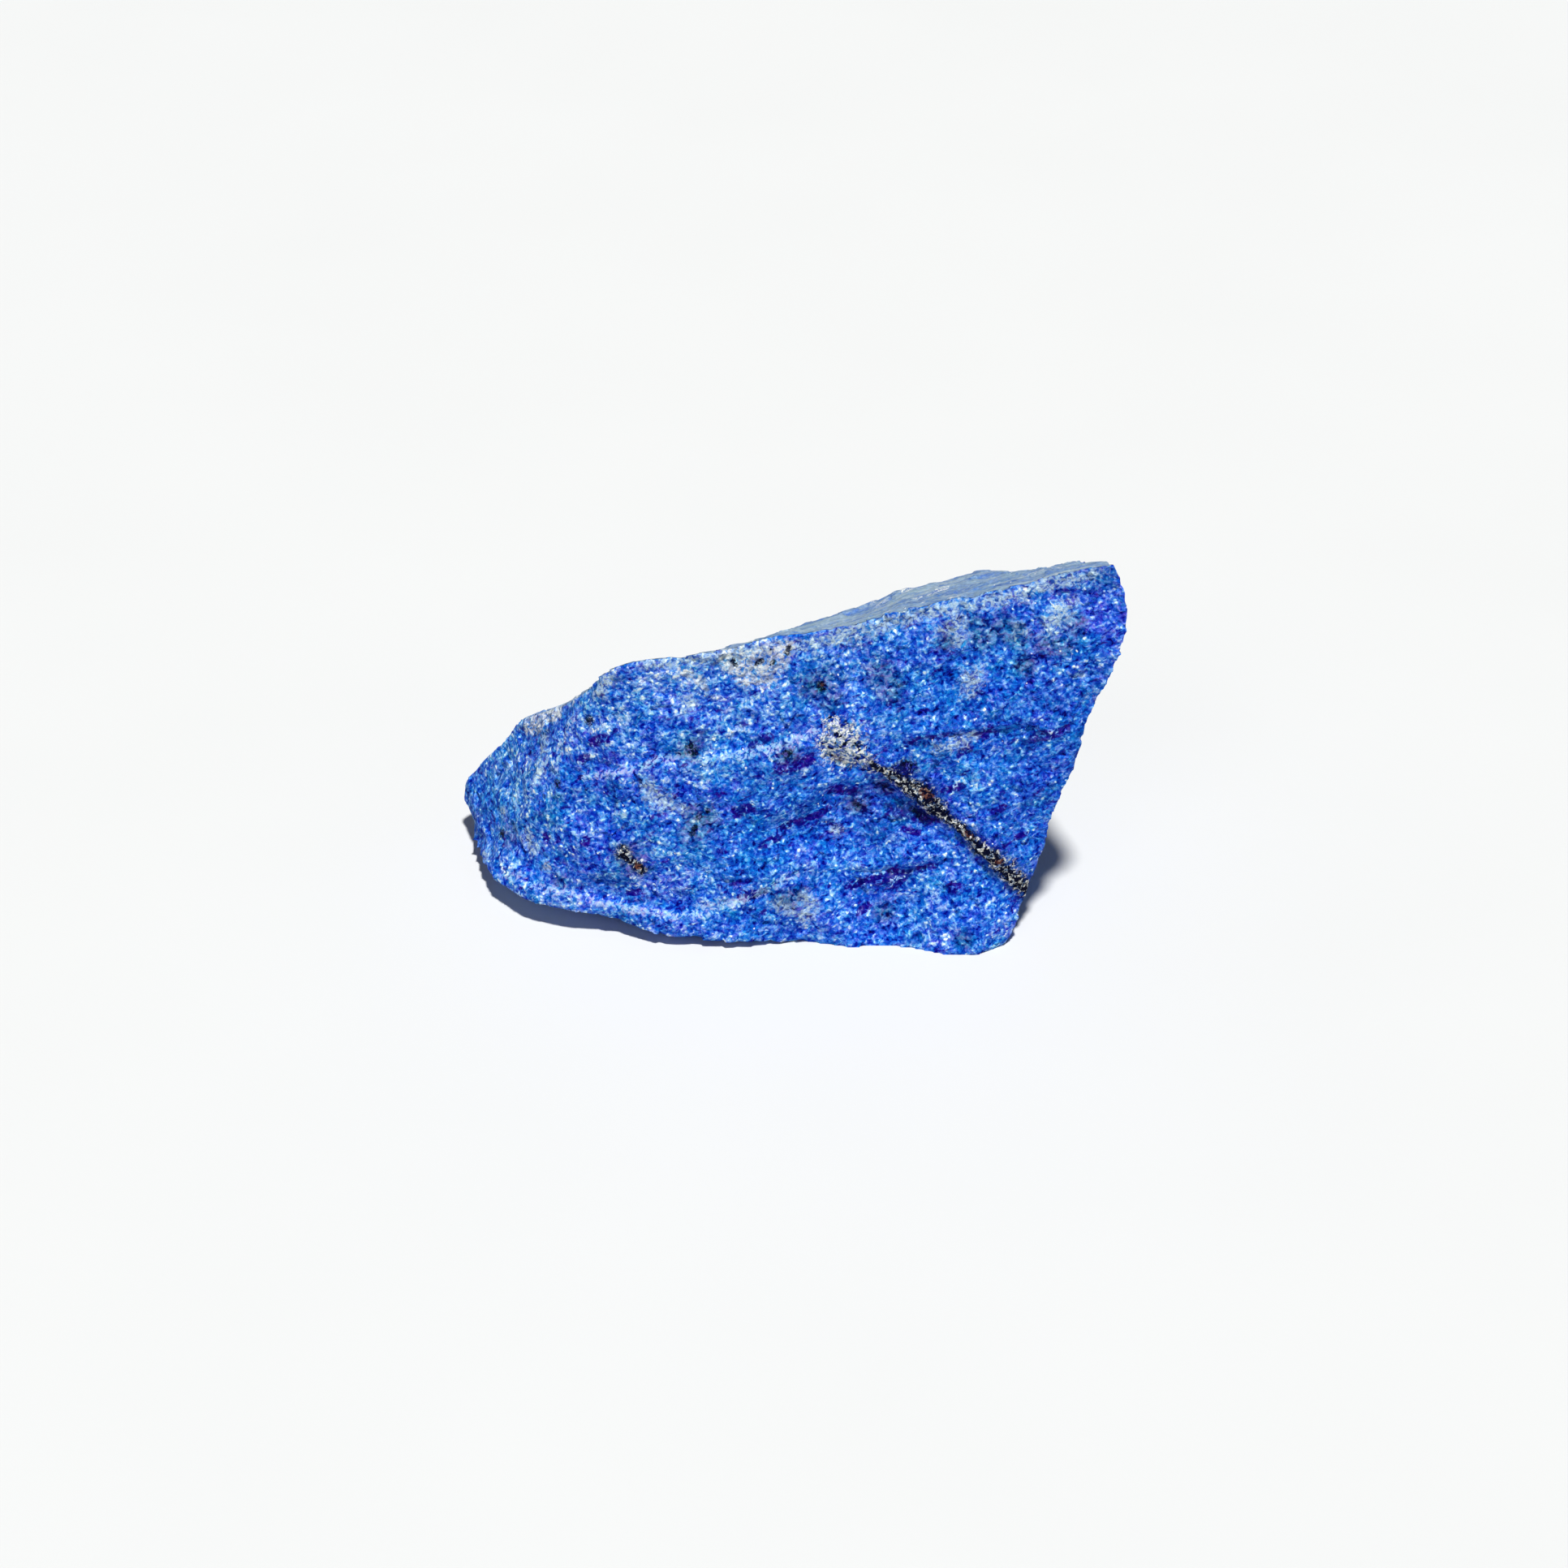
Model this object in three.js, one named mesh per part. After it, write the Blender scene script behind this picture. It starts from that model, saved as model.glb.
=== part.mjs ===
// A rough chip of lapis lazuli: one stone, broken to an uneven wedge about 42 mm long.
// Millimetres, +Z up. The long way of the stone lies along X, and its broad broken face looks towards -Y.
// The origin is the middle of the stone's box, at the level of the flat on which it rests.

import * as THREE from 'three';
import { mergeVertices } from 'three/addons/utils/BufferGeometryUtils.js';
import { ImprovedNoise } from 'three/addons/math/ImprovedNoise.js';

// Edges of the broad front face, as [x, y, z]. The foot and the crest run from left to right,
// and the two ends run from the foot to the crest. y = 0 is the front of the foot.
const frontFoot = [
  [-21.3, 11.4, 1.3], [-21.0, 9.0, 1.3], [-20.0, 5.7, 1.6], [-17.8, 3.1, 1.6], [-14.6, 1.8, 1.6],
  [-11.5, 1.6, 1.2], [-9.4, 0.5, 0.9], [-5.7, -0.1, 0.6], [-3.5, -0.1, 0.5], [0.5, 0.8, -0.1],
  [4.1, -0.1, -0.1], [8.2, -0.6, -0.1], [11.3, -0.8, -0.1], [13.2, 0.4, -0.1],
];
const frontCrest = [
  [-17.9, 11.0, 10.1], [-15.9, 9.5, 11.8], [-14.2, 8.0, 13.5], [-13.0, 7.0, 15.3], [-12.1, 5.8, 17.2],
  [-10.4, 5.5, 18.1], [-6.6, 5.5, 19.0], [-2.1, 5.7, 19.7], [1.9, 5.9, 20.2], [6.0, 6.2, 21.3], [10.0, 6.6, 22.0], [14.0, 6.9, 22.9],
  [18.0, 6.8, 24.3], [19.4, 6.3, 24.7],
];
const frontLeftEnd = [
  [-21.3, 11.4, 1.3], [-21.1, 12.2, 1.6], [-22.1, 13.6, 1.8], [-21.9, 13.4, 3.4], [-21.0, 13.0, 4.9],
  [-19.7, 12.0, 7.0], [-17.9, 11.0, 10.1],
];
const frontRightEnd = [
  [13.2, 0.4, -0.1], [13.9, 0.8, 1.1], [14.8, 2.1, 3.8], [15.8, 2.8, 6.2], [15.9, 3.0, 7.8],
  [17.1, 3.6, 10.8], [17.9, 4.2, 14.4], [19.6, 4.8, 17.9], [20.5, 5.5, 21.0], [20.2, 5.9, 22.8],
  [19.4, 6.3, 24.7],
];

// Edges of the back face, in the same order.
const backFoot = [
  [-20.3, 15.6, 2.0], [-15.0, 16.6, 0.3], [-8.0, 17.0, -0.7], [0.0, 17.2, -0.8], [8.0, 16.0, -0.7],
  [12.6, 12.5, -0.4],
];
const backCrest = [
  [-16.3, 14.6, 7.8], [-12.5, 13.6, 10.3], [-7.0, 13.4, 12.8], [-1.9, 13.0, 14.8], [2.6, 13.2, 16.5], [7.8, 14.0, 18.6],
  [11.6, 14.0, 19.6], [12.6, 13.9, 19.7], [13.4, 13.2, 19.8], [15.9, 12.5, 20.8], [17.8, 11.5, 22.0],
  [19.0, 10.4, 22.5],
];
const backLeftEnd = [
  [-20.3, 15.6, 2.0], [-20.6, 15.3, 3.6], [-18.5, 15.0, 6.0], [-16.3, 14.6, 7.8],
];
const backRightEnd = [
  [12.6, 12.5, -0.4], [14.5, 12.2, 8.0], [17.0, 12.0, 16.0], [19.0, 10.4, 22.5],
];

// Flat fractures: the stone ends at each plane through the point, on the side it faces.
const fractures = [
  { at: [9.0, 14.6, 8.0], facing: [0.5, 0.85, -0.15] },
  { at: [-2.0, 16.5, 5.0], facing: [-0.12, 0.98, -0.12] },
  { at: [-8.0, 14.9, 9.5], facing: [-0.25, 0.8, 0.55] },
  { at: [-17.5, 16.1, 2.5], facing: [-0.45, 0.8, -0.4] },
  { at: [-15.6, 6.0, 10.5], facing: [-0.8, -0.45, 0.4] },
  { at: [17.0, 8.0, 8.5], facing: [0.9, 0.3, -0.32] },
];

// Shell-shaped hollows where flakes came off: a point on the surface, the way it faces, width and depth.
const hollows = [
  { at: [3.6, 2.6, 7.2], facing: [0.05, -0.95, 0.3], wide: 11.0, deep: 0.7 },
  { at: [5.6, 1.4, 3.2], facing: [0.0, -0.97, 0.24], wide: 5.4, deep: 0.4 },
  { at: [-4.6, 0.6, 3.4], facing: [-0.1, -0.96, 0.26], wide: 7.5, deep: 0.4 },
  { at: [-14.5, 4.4, 8.6], facing: [-0.3, -0.9, 0.3], wide: 7.0, deep: 0.35 },
  { at: [2.0, 15.4, 11.5], facing: [0.0, 0.99, 0.12], wide: 13.0, deep: 1.1 },
  { at: [-9.0, 16.2, 4.0], facing: [-0.1, 0.99, 0.0], wide: 9.0, deep: 0.9 },
  { at: [15.4, 8.0, 7.0], facing: [0.95, 0.1, -0.25], wide: 9.0, deep: 0.7 },
  { at: [-3.0, 9.6, 17.2], facing: [-0.3, 0.45, 0.84], wide: 8.0, deep: 0.5 },
];

// Ledges on the front face, as [x, z] seen from the front. The stone stands proud by rise on the right of
// the way the path runs (or is sunk, where rise is negative), and falls back to the face over reach.
const ledges = [
  { rise: 0.55, reach: 7.0, path: [[14.6, 2.7], [12.6, 4.8], [10.7, 6.5], [6.3, 10.0], [2.0, 12.9]] },
  { rise: 0.5, reach: 3.5, path: [[8.6, 8.6], [6.1, 9.3], [3.5, 10.2], [1.5, 9.6], [-1.3, 8.0]] },
  { rise: 0.4, reach: 2.5, path: [[8.6, 5.3], [7.2, 4.8], [5.6, 3.6], [3.2, 3.9]] },
  { rise: 0.35, reach: 2.5, path: [[-0.9, 4.5], [-2.6, 3.5], [-5.3, 2.4]] },
  { rise: -0.4, reach: 4.5, path: [[-5.2, 2.4], [-8.3, 2.2], [-11.5, 2.1], [-14.6, 2.7], [-18.2, 3.2]] },
  { rise: 0.35, reach: 4.0, path: [[-11.3, 11.0], [-7.2, 11.9], [-3.6, 12.7], [0.2, 13.6]] },
];
const ledgeSlope = 0.9;
const ledgeTaper = 1.5;

// The crumbly broken surface: lumps of three sizes, each with its height. Along the sharp rim of the front
// face, on the back of the crest and underneath they are lower, and grow again over a few cells.
const lumps = [
  { size: 6.5, height: 0.45 },
  { size: 2.9, height: 0.3 },
  { size: 1.5, height: 0.14 },
];
const rimLumpShare = 0.25;
const rimCells = 3;

// The stone is sculpted from a block of small cells, counted along its length, depth and height.
const cellsLong = 53;
const cellsDeep = 13;
const cellsHigh = 26;
const cellWander = 0.6;
const tiny = 1e-6;

// How far an edge bends the face beside it: shares of the face's height and of its length.
const footBend = 0.2;
const crestBend = 0.2;
const leftBend = 0.11;
const rightBend = 0.2;

// Share of an edge over which its small bays and corners are evened out inside the face.
const evenedShare = 0.09;
const evenedSteps = 6;

const noise = new ImprovedNoise();
const toVector = ([x, y, z]) => new THREE.Vector3(x, y, z);
const fadeOut = (distance, reach) => Math.max(0, 1 - distance / reach);

// A run of straight stretches through the points, followed by a share of its length from 0 to 1.
function makeRun(points) {
  const run = new THREE.CurvePath();
  for (let i = 1; i < points.length; i += 1) {
    run.add(new THREE.LineCurve3(toVector(points[i - 1]), toVector(points[i])));
  }
  return run;
}

// A point of the same run with its small bays evened out, for the inside of a face.
function evenedPoint(run, share) {
  const sum = new THREE.Vector3();
  for (let step = -evenedSteps; step <= evenedSteps; step += 1) {
    const near = THREE.MathUtils.clamp(share + (evenedShare * step) / evenedSteps, 0, 1);
    sum.add(run.getPoint(near));
  }
  return sum.divideScalar(2 * evenedSteps + 1);
}

// A face stretched between its four edges. It is ruled from the evened foot to the evened crest, and bends
// to its true edges close beside them.
function makeFace(footPoints, crestPoints, leftPoints, rightPoints) {
  const foot = makeRun(footPoints);
  const crest = makeRun(crestPoints);
  const left = makeRun(leftPoints);
  const right = makeRun(rightPoints);
  const ruled = (along, up) => {
    const low = evenedPoint(foot, along);
    const high = evenedPoint(crest, along);
    const point = low.clone().lerp(high, up);
    point.addScaledVector(foot.getPoint(along).sub(low), fadeOut(up, footBend));
    point.addScaledVector(crest.getPoint(along).sub(high), fadeOut(1 - up, crestBend));
    return point;
  };
  return (along, up) => {
    const point = ruled(along, up);
    point.addScaledVector(left.getPoint(up).sub(ruled(0, up)), fadeOut(along, leftBend));
    point.addScaledVector(right.getPoint(up).sub(ruled(1, up)), fadeOut(1 - along, rightBend));
    return point;
  };
}

// Shifts a share of the block off its even cell by part of a cell, and leaves the block's own faces flat.
function wander(share, cells, cell, seed) {
  const shift = cellWander * noise.noise(cell.x * 19 + seed, cell.y * 11, cell.z * 17 + seed);
  const room = Math.min(1, Math.min(share, 1 - share) * cells);
  return share + (shift * room) / cells;
}

function cutAtFracture(point, fracture) {
  const facing = toVector(fracture.facing).normalize();
  const beyond = point.clone().sub(toVector(fracture.at)).dot(facing);
  point.addScaledVector(facing, -Math.max(0, beyond));
}

// A hollow is the dish that a large ball leaves when it is pressed into the surface from outside.
function pressHollow(point, hollow) {
  const radius = ((hollow.wide / 2) ** 2 + hollow.deep ** 2) / (2 * hollow.deep);
  const facing = toVector(hollow.facing).normalize();
  const ballMiddle = toVector(hollow.at).addScaledVector(facing, radius - hollow.deep);
  const offset = point.clone().sub(ballMiddle);
  const height = offset.dot(facing);
  const reachSquared = radius ** 2 - offset.lengthSq() + height ** 2;
  if (offset.length() < radius) {
    point.addScaledVector(facing, -Math.sqrt(reachSquared) - height);
  }
}

// How far a ledge lifts the front face at a point, worked out from the nearest stretch of its path.
function ledgeLift(point, ledge) {
  const here = new THREE.Vector2(point.x, point.z);
  let nearest = Infinity;
  let lift = 0;
  for (let i = 1; i < ledge.path.length; i += 1) {
    const start = new THREE.Vector2(...ledge.path[i - 1]);
    const way = new THREE.Vector2(...ledge.path[i]).sub(start);
    const length = way.length();
    way.divideScalar(length);
    const offset = here.clone().sub(start);
    const travelled = offset.dot(way);
    const pastEnd = Math.max(0, travelled - length, -travelled);
    const toRight = offset.cross(way);
    const distance = Math.hypot(toRight, pastEnd);
    if (distance < nearest) {
      nearest = distance;
      const step = THREE.MathUtils.smoothstep(toRight, -ledgeSlope / 2, ledgeSlope / 2);
      lift = ledge.rise * step * fadeOut(distance, ledge.reach) * fadeOut(pastEnd, ledgeTaper);
    }
  }
  return lift;
}

function lumpHeight(point) {
  return lumps.reduce((sum, lump, number) => {
    const spot = point.clone().divideScalar(lump.size);
    return sum + lump.height * noise.noise(spot.x + 7 * number, spot.y, spot.z);
  }, 0);
}

const frontFace = makeFace(frontFoot, frontCrest, frontLeftEnd, frontRightEnd);
const backFace = makeFace(backFoot, backCrest, backLeftEnd, backRightEnd);
const block = new THREE.BoxGeometry(1, 1, 1, cellsLong, cellsDeep, cellsHigh);
block.deleteAttribute('normal');
block.deleteAttribute('uv');
const stone = mergeVertices(block, tiny);
const place = stone.getAttribute('position');
const getPoint = (i) => new THREE.Vector3().fromBufferAttribute(place, i);

// The large shape: the block stretched between the two faces, then cut and hollowed.
const ledgeShares = [];
const lumpShares = [];
for (let i = 0; i < place.count; i += 1) {
  const cell = getPoint(i).addScalar(0.5);
  const along = wander(cell.x, cellsLong, cell, 3);
  const back = wander(cell.y, cellsDeep, cell, 29);
  const up = wander(cell.z, cellsHigh, cell, 61);
  const point = frontFace(along, up).lerp(backFace(along, up), back);
  fractures.forEach((fracture) => cutAtFracture(point, fracture));
  hollows.forEach((hollow) => pressHollow(point, hollow));
  place.setXYZ(i, point.x, point.y, point.z);

  const isFront = cell.y < tiny;
  const isUnder = cell.z < tiny;
  const isBackCrest = cell.y > 1 - tiny && cell.z > 1 - tiny && point.x > backCrest[3][0];
  const cellsIn = [cell.x * cellsLong, (1 - cell.x) * cellsLong, cell.z * cellsHigh, (1 - cell.z) * cellsHigh];
  const cellsFromRim = isFront ? Math.min(...cellsIn) : cell.y * cellsDeep;
  const rimShare = isUnder || isBackCrest ? 0 : Math.min(1, cellsFromRim / rimCells);
  ledgeShares.push(isFront ? rimShare : 0);
  lumpShares.push(THREE.MathUtils.lerp(rimLumpShare, 1, rimShare));
}

// The relief: ledges and lumps raised along the surface, and the underside worn flat where it meets z = 0.
stone.computeVertexNormals();
const normals = stone.getAttribute('normal');
for (let i = 0; i < place.count; i += 1) {
  const point = getPoint(i);
  const outward = new THREE.Vector3().fromBufferAttribute(normals, i);
  const ledge = ledges.reduce((sum, each) => sum + ledgeLift(point, each), 0);
  point.addScaledVector(outward, ledge * ledgeShares[i] + lumpHeight(point) * lumpShares[i]);
  place.setXYZ(i, point.x, point.y, Math.max(0, point.z));
}

// Each cell is two triangles: a, b, d and b, c, d. It is split the other way where that diagonal is shorter.
const corners = stone.getIndex().array;
for (let i = 0; i < corners.length; i += 6) {
  const [a, b, d, , c] = corners.slice(i, i + 6);
  if (getPoint(a).distanceTo(getPoint(c)) < getPoint(b).distanceTo(getPoint(d))) {
    corners.set([a, b, c, a, c, d], i);
  }
}

const lapis = new THREE.MeshStandardMaterial({ color: 0x3f68c4, roughness: 0.8, metalness: 0 });
const mesh = new THREE.Mesh(stone, lapis);
mesh.name = 'lapis_stone';
stone.computeBoundingBox();
const middle = stone.boundingBox.getCenter(new THREE.Vector3());
mesh.position.set(-middle.x, -middle.y, 0);

const part = new THREE.Group();
part.add(mesh);
export default part;
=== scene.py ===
import math

import bpy
import numpy as np
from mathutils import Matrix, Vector, kdtree
from mathutils.bvhtree import BVHTree


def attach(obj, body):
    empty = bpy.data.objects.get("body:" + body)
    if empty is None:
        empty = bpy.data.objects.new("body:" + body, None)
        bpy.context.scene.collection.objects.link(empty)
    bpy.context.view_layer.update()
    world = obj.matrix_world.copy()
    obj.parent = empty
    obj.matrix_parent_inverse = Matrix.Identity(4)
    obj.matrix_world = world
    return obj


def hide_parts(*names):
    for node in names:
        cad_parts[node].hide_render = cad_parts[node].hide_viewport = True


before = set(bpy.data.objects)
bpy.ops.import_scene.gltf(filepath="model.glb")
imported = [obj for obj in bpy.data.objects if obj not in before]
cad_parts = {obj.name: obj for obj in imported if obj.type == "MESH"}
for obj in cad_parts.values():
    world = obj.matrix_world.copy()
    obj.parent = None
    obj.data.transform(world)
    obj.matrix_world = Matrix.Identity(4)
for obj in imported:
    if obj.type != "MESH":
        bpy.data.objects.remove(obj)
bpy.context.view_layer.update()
print("frame loaded")


# the stone's body
stone = {
    "weld": 0.001,          # mm, points closer than this become one
    "voxel": 0.19,          # mm between the points of the worked surface
    "soften": 1,            # passes that take the flat facets off the broken faces
    "swellSize": 2.6,       # mm, rolling of the broken faces
    "swellDepth": 0.10,     # mm
    "chipSize": 1.15,       # mm, small flakes left by the break
    "chipDepth": 0.03,      # mm
    "chipSlope": 0.12,      # mm of height to a mm
    "grainSize": 0.42,      # mm, clumps of crystals
    "grainDepth": 0.05,     # mm
    "restBelow": 0.08,      # mm above the table that stay unworked
    "calmBelow": 0.35,      # mm over which the relief then grows to its full height
    "flatBelow": 0.03,      # mm, what lies lower is pressed flat on the table
    "roundEdge": 38,        # degrees, softer folds than this are shaded smooth
    "seed": 11,
}


def selectOnly(item):
    bpy.ops.object.select_all(action="DESELECT")
    item.select_set(True)
    bpy.context.view_layer.objects.active = item


def applyModifier(item, kind, name, **values):
    selectOnly(item)
    modifier = item.modifiers.new(name, kind)
    for key, value in values.items():
        setattr(modifier, key, value)
    bpy.ops.object.modifier_apply(modifier=name)


def readVectors(item, kind):
    flat = np.empty(len(item.data.vertices) * 3, np.float32)
    item.data.vertices.foreach_get(kind, flat)
    return flat.reshape(-1, 3).astype(float)


def readPoints(item):
    return readVectors(item, "co") * 1000      # mm


def readNormals(item):
    return readVectors(item, "normal")


def readEdges(item):
    flat = np.empty(len(item.data.edges) * 2, np.int32)
    item.data.edges.foreach_get("vertices", flat)
    return flat.reshape(-1, 2)


def writePoints(item, points):
    item.data.vertices.foreach_set("co", (points / 1000).astype(np.float32).ravel())
    item.data.update()


def copyStoneNode():
    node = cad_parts["lapis_stone"]
    body = bpy.data.objects.new("lapisStone", node.data.copy())
    bpy.context.scene.collection.objects.link(body)
    body.data.materials.clear()
    selectOnly(body)
    bpy.ops.object.mode_set(mode="EDIT")
    bpy.ops.mesh.select_all(action="SELECT")
    bpy.ops.mesh.remove_doubles(threshold=stone["weld"] / 1000)
    bpy.ops.object.mode_set(mode="OBJECT")
    return body


def workedShare(points):
    # nought at the table, one where the surface has its full relief
    return np.clip((points[:, 2] - stone["restBelow"]) / stone["calmBelow"], 0, 1)


def raiseClouds(body, name, size, depth, detail):
    texture = bpy.data.textures.new(name, "CLOUDS")
    texture.noise_scale = size / 1000
    texture.noise_depth = detail
    texture.noise_basis = "IMPROVED_PERLIN"
    applyModifier(body, "DISPLACE", name, texture=texture, texture_coords="LOCAL", direction="NORMAL",
                  strength=depth / 1000, mid_level=0.5, vertex_group="worked")


def flakeRelief(points, size, depth, slope, seed):
    # each flake is a patch around its own centre, lifted and tilted a little
    draw = np.random.RandomState(seed)
    low, high = points.min(0) - size, points.max(0) + size
    count = int(np.prod((high - low) / size))
    centres = draw.uniform(low, high, (count, 3))
    lifts = draw.uniform(-depth, depth, count)
    slopes = draw.uniform(-slope, slope, (count, 3))
    tree = kdtree.KDTree(count)
    for i, centre in enumerate(centres):
        tree.insert(centre, i)
    tree.balance()
    nearest = np.array([tree.find(p)[1] for p in points])
    away = points - centres[nearest]
    return lifts[nearest] + (away * slopes[nearest]).sum(1)


def fitToBox(points, low, high):
    nowLow, nowHigh = points.min(0), points.max(0)
    return low + (points - nowLow) * (high - low) / (nowHigh - nowLow)


def makeStone():
    body = copyStoneNode()
    points = readPoints(body)
    low, high = points.min(0), points.max(0)
    applyModifier(body, "REMESH", "even", mode="VOXEL", voxel_size=stone["voxel"] / 1000, adaptivity=0)
    applyModifier(body, "SMOOTH", "soften", factor=0.5, iterations=stone["soften"])
    print("stone remeshed", len(body.data.polygons), "faces")
    group = body.vertex_groups.new(name="worked")
    for i, share in enumerate(workedShare(readPoints(body))):
        group.add([i], share, "REPLACE")
    raiseClouds(body, "swell", stone["swellSize"], stone["swellDepth"], 2)
    raiseClouds(body, "grain", stone["grainSize"], stone["grainDepth"], 1)
    pressSteps(body)
    points, normals = readPoints(body), readNormals(body)
    flakes = flakeRelief(points, stone["chipSize"], stone["chipDepth"], stone["chipSlope"], stone["seed"])
    points += normals * (flakes * workedShare(points))[:, None]
    points = fitToBox(points, low, high)
    points[:, 2] = np.where(points[:, 2] < stone["flatBelow"], 0.0, points[:, 2])
    writePoints(body, points)
    body.vertex_groups.clear()
    selectOnly(body)
    bpy.ops.object.shade_smooth_by_angle(angle=math.radians(stone["roundEdge"]))
    print("stone relief done")
    return body


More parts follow.
